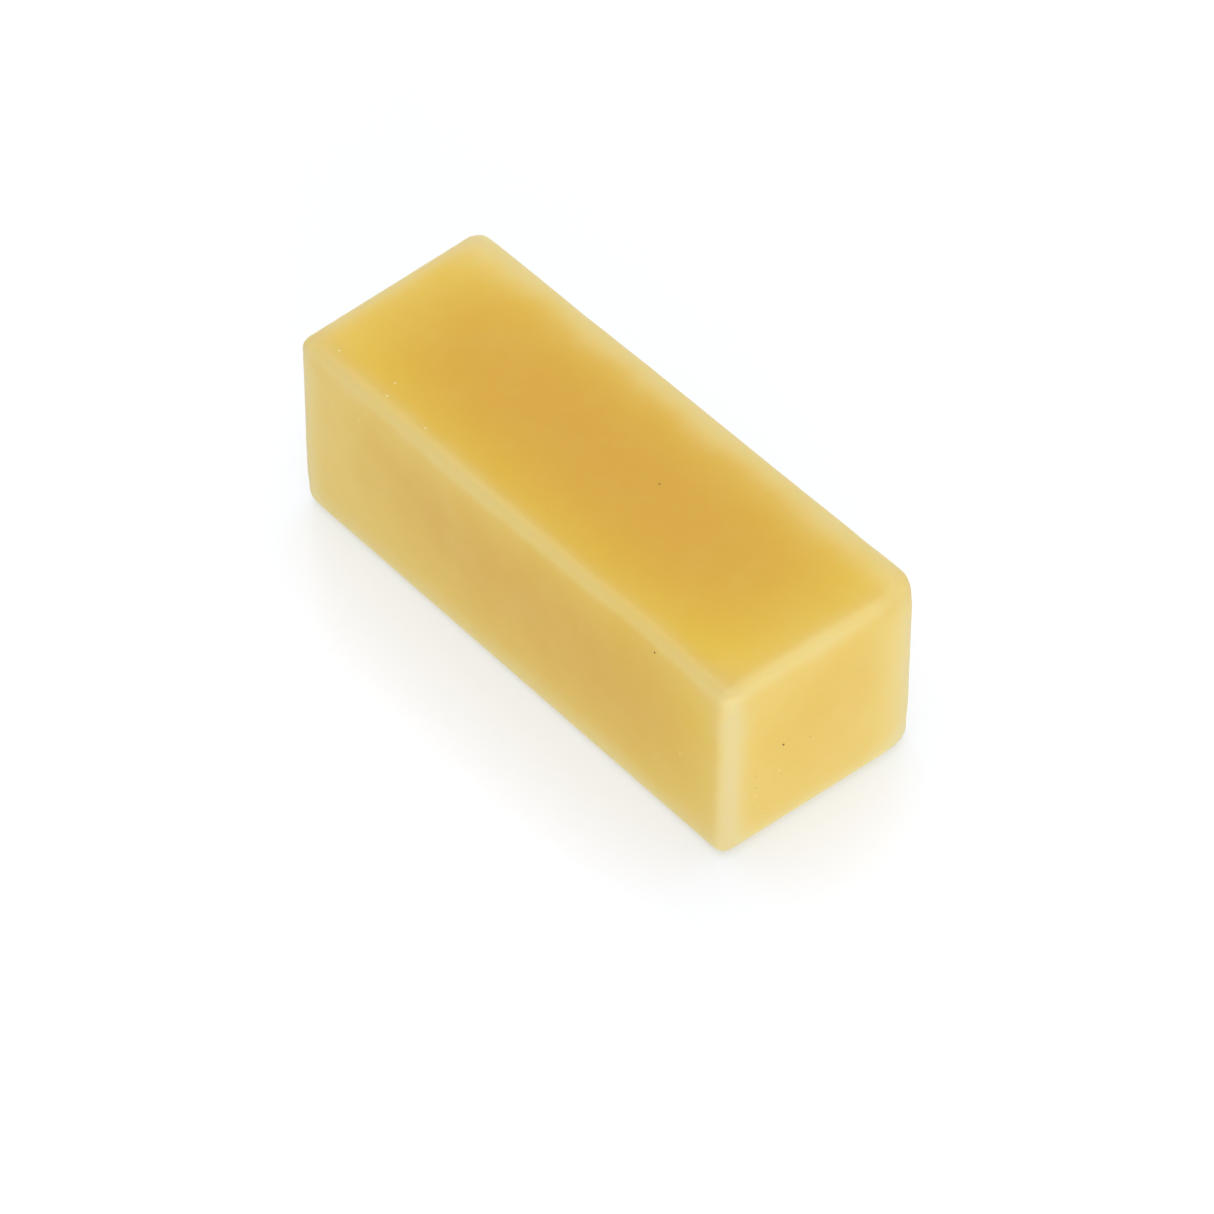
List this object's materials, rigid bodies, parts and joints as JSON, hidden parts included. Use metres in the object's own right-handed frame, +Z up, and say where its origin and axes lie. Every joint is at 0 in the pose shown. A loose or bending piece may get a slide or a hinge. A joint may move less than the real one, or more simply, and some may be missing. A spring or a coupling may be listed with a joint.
{
  "type": "clay bar",
  "caption": "Oblong block of translucent yellow detailing clay with softly rounded edges and slightly off-square cut ends.",
  "frame": {"origin": "middle of the underside, on the surface that the bar lies on", "axes": "+X along the bar's length towards the more rounded end, +Y towards the longer of the two long sides, +Z up"},
  "size_m": [0.0785, 0.0302, 0.027],
  "materials": {
    "clay": "translucent honey-yellow clay, satin and slightly tacky, paler and creamier along its edges"
  },
  "bodies": {
    "root": {"clay_bar": "clay"}
  },
  "joints": []
}
